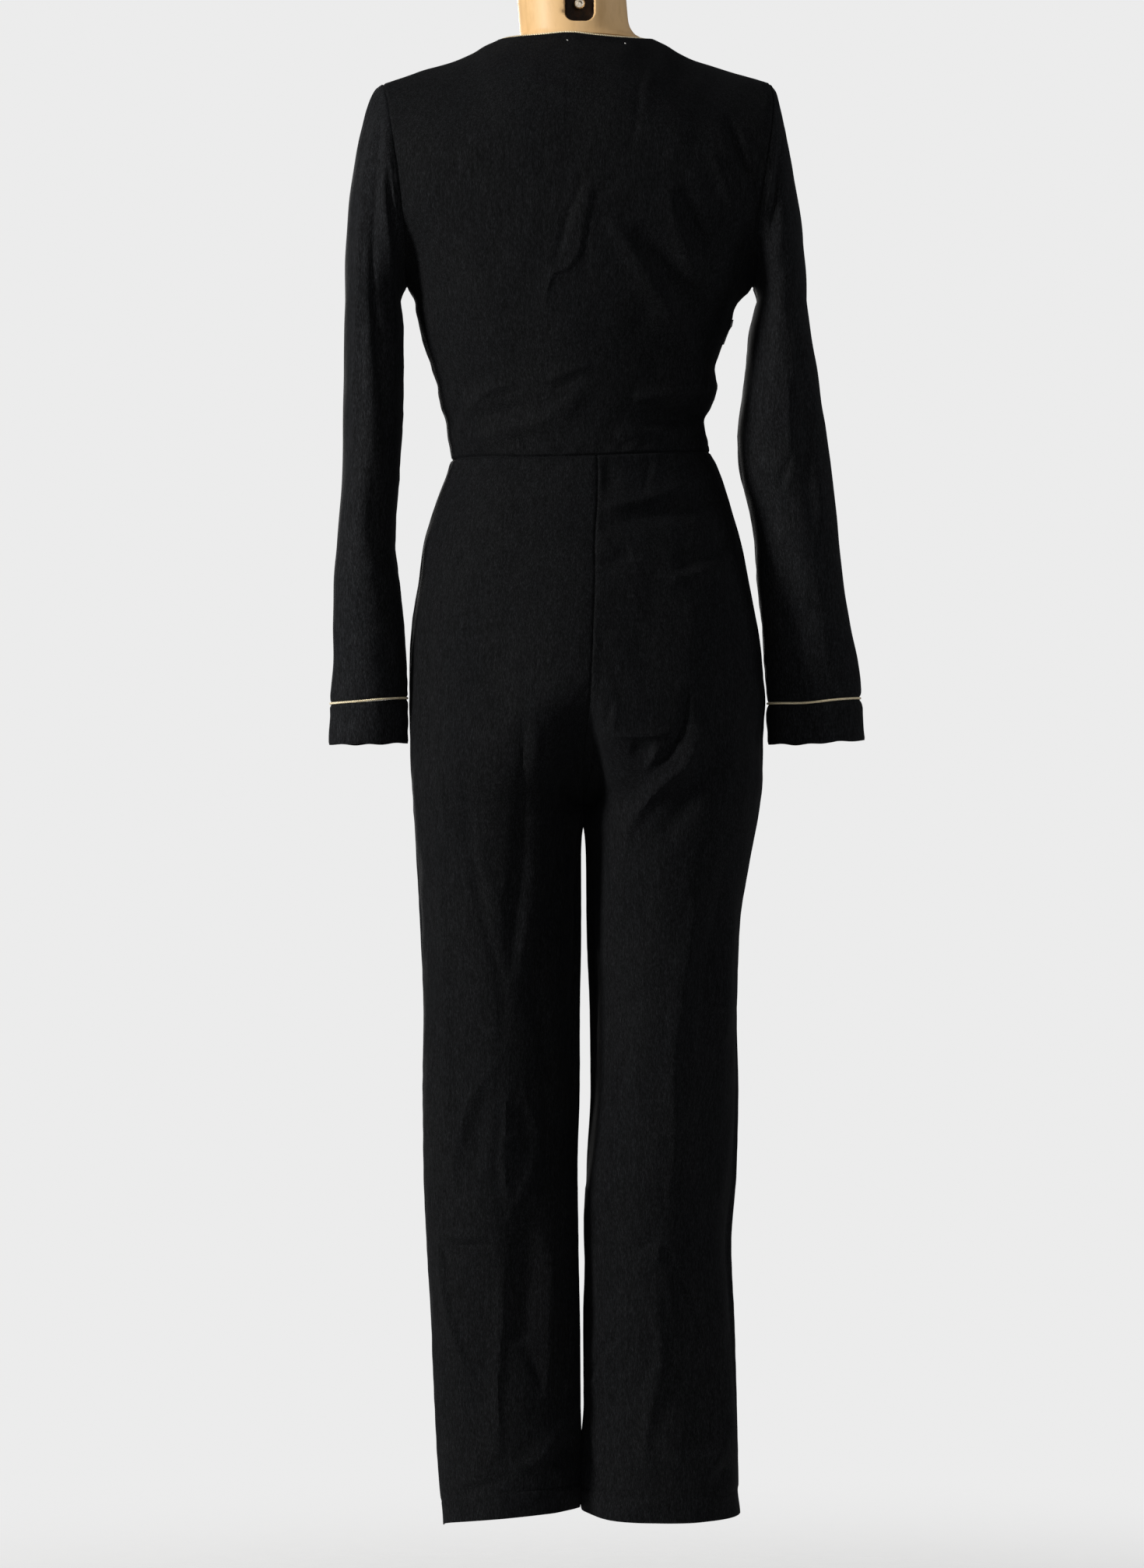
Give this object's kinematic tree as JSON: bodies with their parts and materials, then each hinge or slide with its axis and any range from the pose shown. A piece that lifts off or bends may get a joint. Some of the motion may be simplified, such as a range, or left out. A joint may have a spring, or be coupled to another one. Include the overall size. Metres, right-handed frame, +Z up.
{
  "type": "jumpsuit on a hanging torso form",
  "caption": "Black long-sleeved jumpsuit with tapered trousers and gold piping, worn by a limbless torso form that hangs from a hook.",
  "frame": {"origin": "inside of the hook's bend, where a rail carries the form and the garment on it", "axes": "+Z up, the garment's front faces -Y, +X is the wearer's left"},
  "size_m": [0.5188, 0.2542, 1.5822],
  "materials": {
    "crepe": "matt black crepe with a fine upright grain",
    "gold_cord": "pale gold twisted cord",
    "zip_metal": "black lacquered zip slider",
    "form_shell": "smooth glossy tan moulding",
    "steel": "bright steel"
  },
  "bodies": {
    "root": {"bodice_back": "crepe", "bodice_front": "crepe", "sleeve_left": "crepe", "sleeve_right": "crepe", "cuff_left": "crepe", "cuff_right": "crepe", "trouser_back_left": "crepe", "trouser_back_right": "crepe", "trouser_front_left": "crepe", "trouser_front_right": "crepe", "piping_neck": "gold_cord", "piping_cuff_left": "gold_cord", "piping_cuff_right": "gold_cord", "zip_slider": "zip_metal", "form_torso": "form_shell", "form_bolt": "steel", "form_hook": "steel"}
  },
  "joints": []
}
